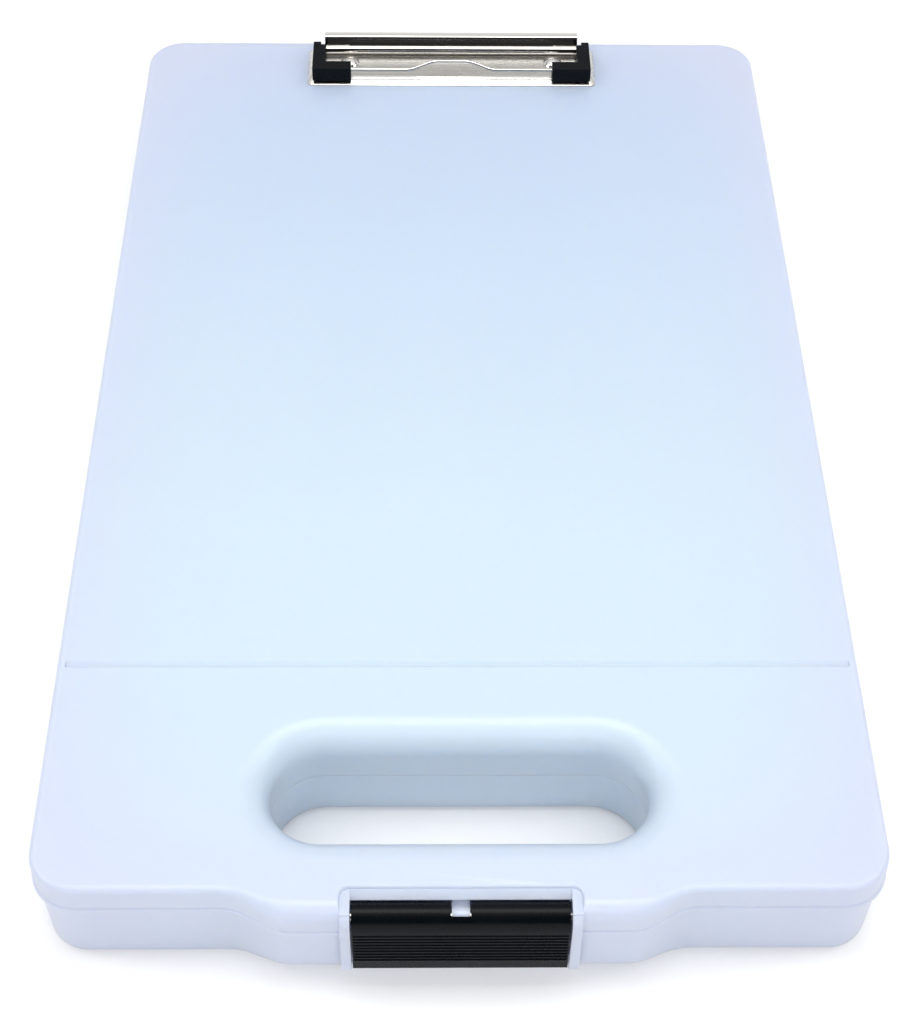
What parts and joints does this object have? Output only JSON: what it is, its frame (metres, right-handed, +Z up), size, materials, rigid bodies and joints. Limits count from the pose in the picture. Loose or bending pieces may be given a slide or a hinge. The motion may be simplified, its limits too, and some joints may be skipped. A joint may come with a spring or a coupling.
{
  "type": "storage clipboard box",
  "caption": "Shallow moulded case whose hinged lid is a writing board, with a hand slot, a front latch and a sprung wire paper clip.",
  "frame": {"origin": "under the middle of the closed box, on the surface it rests on", "axes": "+X right, +Y from the latch towards the hinges and the paper clip, +Z up out of the writing board"},
  "size_m": [0.24, 0.4064, 0.0454],
  "materials": {
    "clear_plastic": "translucent pale blue polypropylene",
    "black_plastic": "satin",
    "nickel_sheet": "bright nickel",
    "steel": "nickel plated"
  },
  "bodies": {
    "tray": {"tray_shell": "clear_plastic", "hinge_pin_left": "steel", "hinge_pin_right": "steel"},
    "lid": {"lid_shell": "clear_plastic", "latch_pin": "steel", "clip_base": "nickel_sheet", "rivet_left": "steel", "rivet_right": "steel", "rivet_washer_left": "steel", "rivet_washer_right": "steel"},
    "latch": {"latch": "black_plastic"},
    "clip_jaw": {"clip_lever": "nickel_sheet", "clip_wire": "steel", "grip_left": "black_plastic", "grip_right": "black_plastic"}
  },
  "joints": [
    {"name": "lid_hinge", "type": "hinge", "parent": "tray", "child": "lid", "pos_m": [0, 0.19973, 0.026], "axis": [-1, 0, 0], "range_deg": [0, 110]},
    {"name": "latch_hinge", "type": "hinge", "parent": "lid", "child": "latch", "pos_m": [0, -0.19778, 0.0302], "axis": [-1, 0, 0], "range_deg": [0, 90]},
    {"name": "clip_hinge", "type": "hinge", "parent": "lid", "child": "clip_jaw", "pos_m": [0, 0.18482, 0.0408], "axis": [-1, 0, 0], "range_deg": [0, 40], "stiffness_Nm_per_rad": 0.4, "springref_deg": -20.05}
  ]
}
